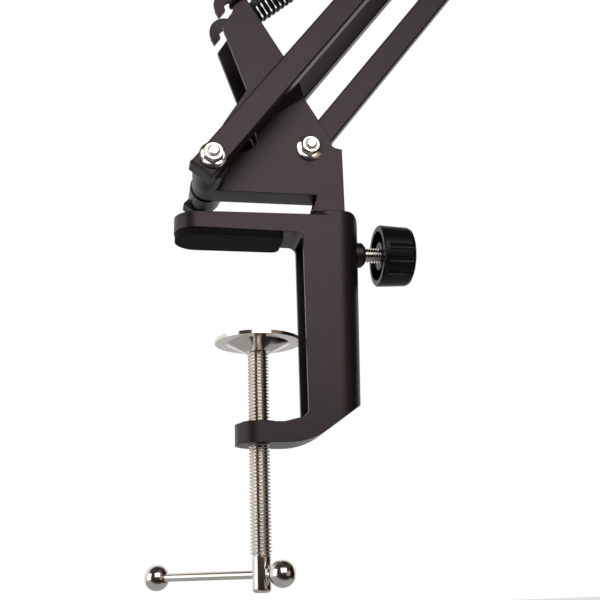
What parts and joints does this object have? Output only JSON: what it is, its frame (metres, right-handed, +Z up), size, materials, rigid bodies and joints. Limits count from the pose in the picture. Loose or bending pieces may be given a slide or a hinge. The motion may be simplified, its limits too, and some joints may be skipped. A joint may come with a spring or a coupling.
{
  "type": "desk clamp microphone boom arm",
  "caption": "Spring-balanced folding boom arm for a microphone, on a C-clamp with a swivel post that grips a desk edge",
  "frame": {"origin": "on the clamp screw's axis, in the plane of the jaw pad's underside that rests on the desk top", "axes": "+Z up; +X from the jaws to the clamp's spine; +Y through the clamp's depth, away from the side that shows the flange nuts"},
  "size_m": [0.38, 0.066, 0.683],
  "materials": {
    "coat": "satin black powder coat",
    "pad_rubber": "matte",
    "plated": "bright nickel plate",
    "brass": "machined",
    "knob_plastic": "moulded, slight gloss",
    "plug_plastic": "moulded",
    "spacer_plastic": "black, slight gloss",
    "spring_steel": "black oxide wire"
  },
  "bodies": {
    "clamp": {"clamp_frame": "coat", "jaw_pad": "pad_rubber"},
    "disc": {"pressure_disc": "plated"},
    "screw": {"clamp_screw": "plated"},
    "tommy_bar": {"t_bar": "plated", "t_bar_ball_left": "plated", "t_bar_ball_right": "plated"},
    "lock_pin": {"lock_tip": "brass"},
    "lock": {"lock_stud": "plated", "lock_knob": "knob_plastic"},
    "base": {"swivel_post": "coat", "base_bracket": "coat", "base_outer_bolt": "plated", "base_inner_bolt": "plated", "base_outer_nut": "plated", "base_inner_nut": "plated", "base_spacer_near": "spacer_plastic", "base_spacer_far": "spacer_plastic", "base_sleeve": "plated"},
    "lower_arm": {"lower_bar_near": "coat", "lower_bar_far": "coat", "lower_bar_plugs": "plug_plastic", "lower_spring_pin": "plated", "lower_spring_near": "spring_steel", "lower_spring_far": "spring_steel"},
    "lower_inner": {"lower_inner_bar": "coat", "lower_inner_plugs": "plug_plastic"},
    "elbow": {"elbow_bracket": "coat", "elbow_bolts": "plated", "elbow_nuts": "plated", "elbow_spacers": "spacer_plastic", "elbow_sleeves": "plated"},
    "upper_arm": {"upper_bar_near": "coat", "upper_bar_far": "coat", "upper_bar_plugs": "plug_plastic", "upper_spring_pin": "plated", "upper_spring_near": "spring_steel", "upper_spring_far": "spring_steel"},
    "upper_inner": {"upper_inner_bar": "coat", "upper_inner_plugs": "plug_plastic"},
    "head": {"head_bracket": "coat", "head_bolts": "plated", "head_nuts": "plated", "head_spacers": "spacer_plastic", "head_sleeves": "plated", "tilt_bolt": "plated"},
    "tilt": {"tilt_block": "plated", "mic_stud": "plated"},
    "tilt_clamp": {"tilt_washer": "plated"},
    "tilt_grip": {"tilt_knob": "knob_plastic"}
  },
  "joints": [
    {"name": "disc_slide", "type": "slide", "parent": "clamp", "child": "disc", "axis": [0, 0, 1], "range_m": [-0.0261, 0.0381]},
    {"name": "screw_turn", "type": "hinge", "parent": "disc", "child": "screw", "pos_m": [0, 0, -0.043], "axis": [0, 0, 1], "range_deg": [-7488, 10944]},
    {"name": "t_bar_slide", "type": "slide", "parent": "screw", "child": "tommy_bar", "axis": [0.7361, -0.6769, 0], "range_m": [0, 0.0393]},
    {"name": "lock_tip_slide", "type": "slide", "parent": "clamp", "child": "lock_pin", "axis": [1, 0, 0], "range_m": [-0.00001, 0.00801]},
    {"name": "lock_turn", "type": "hinge", "parent": "lock_pin", "child": "lock", "pos_m": [0.036, 0, -0.0032], "axis": [1, 0, 0], "range_deg": [0, 2880]},
    {"name": "base_swivel", "type": "hinge", "parent": "clamp", "child": "base", "pos_m": [0.029, 0, 0.02], "axis": [0, 0, 1], "continuous": true},
    {"name": "lower_fold", "type": "hinge", "parent": "base", "child": "lower_arm", "pos_m": [-0.0189, 0, 0.0257], "axis": [0, -1, 0], "range_deg": [-22, 45], "deforming": ["lower_spring_near", "lower_spring_far"]},
    {"name": "lower_inner_fold", "type": "hinge", "parent": "base", "child": "lower_inner", "pos_m": [0.0215, 0, 0.0399], "axis": [0, -1, 0], "range_deg": [-22, 45]},
    {"name": "elbow_level", "type": "hinge", "parent": "lower_arm", "child": "elbow", "pos_m": [0.1932, 0, 0.30412], "axis": [0, -1, 0], "range_deg": [-45, 22]},
    {"name": "upper_fold", "type": "hinge", "parent": "elbow", "child": "upper_arm", "pos_m": [0.2272, 0, 0.34412], "axis": [0, -1, 0], "range_deg": [-22, 45], "deforming": ["upper_spring_near", "upper_spring_far"]},
    {"name": "upper_inner_fold", "type": "hinge", "parent": "elbow", "child": "upper_inner", "pos_m": [0.2176, 0, 0.37042], "axis": [0, -1, 0], "range_deg": [-22, 45]},
    {"name": "head_level", "type": "hinge", "parent": "upper_arm", "child": "head", "pos_m": [-0.07591, 0, 0.51912], "axis": [0, -1, 0], "range_deg": [-45, 22]},
    {"name": "head_tilt", "type": "hinge", "parent": "head", "child": "tilt", "pos_m": [-0.10591, 0, 0.52512], "axis": [0, -1, 0], "range_deg": [-90, 90]},
    {"name": "tilt_washer_slide", "type": "slide", "parent": "head", "child": "tilt_clamp", "axis": [0, -1, 0], "range_m": [-0.00001, 0.00141]},
    {"name": "tilt_knob_turn", "type": "hinge", "parent": "tilt_clamp", "child": "tilt_grip", "pos_m": [-0.10591, -0.007, 0.52512], "axis": [0, -1, 0], "range_deg": [0, 720]}
  ],
  "couplings": [
    {"joint": "disc_slide", "follows": "screw_turn", "m_per_rad": 0.00019894},
    {"joint": "lock_tip_slide", "follows": "lock_turn", "m_per_rad": 0.00015915},
    {"joint": "lower_inner_fold", "follows": "lower_fold", "ratio": 1},
    {"joint": "elbow_level", "follows": "lower_fold", "ratio": -1},
    {"joint": "upper_inner_fold", "follows": "upper_fold", "ratio": 1},
    {"joint": "head_level", "follows": "upper_fold", "ratio": -1},
    {"joint": "tilt_washer_slide", "follows": "tilt_knob_turn", "m_per_rad": 0.00011141}
  ]
}
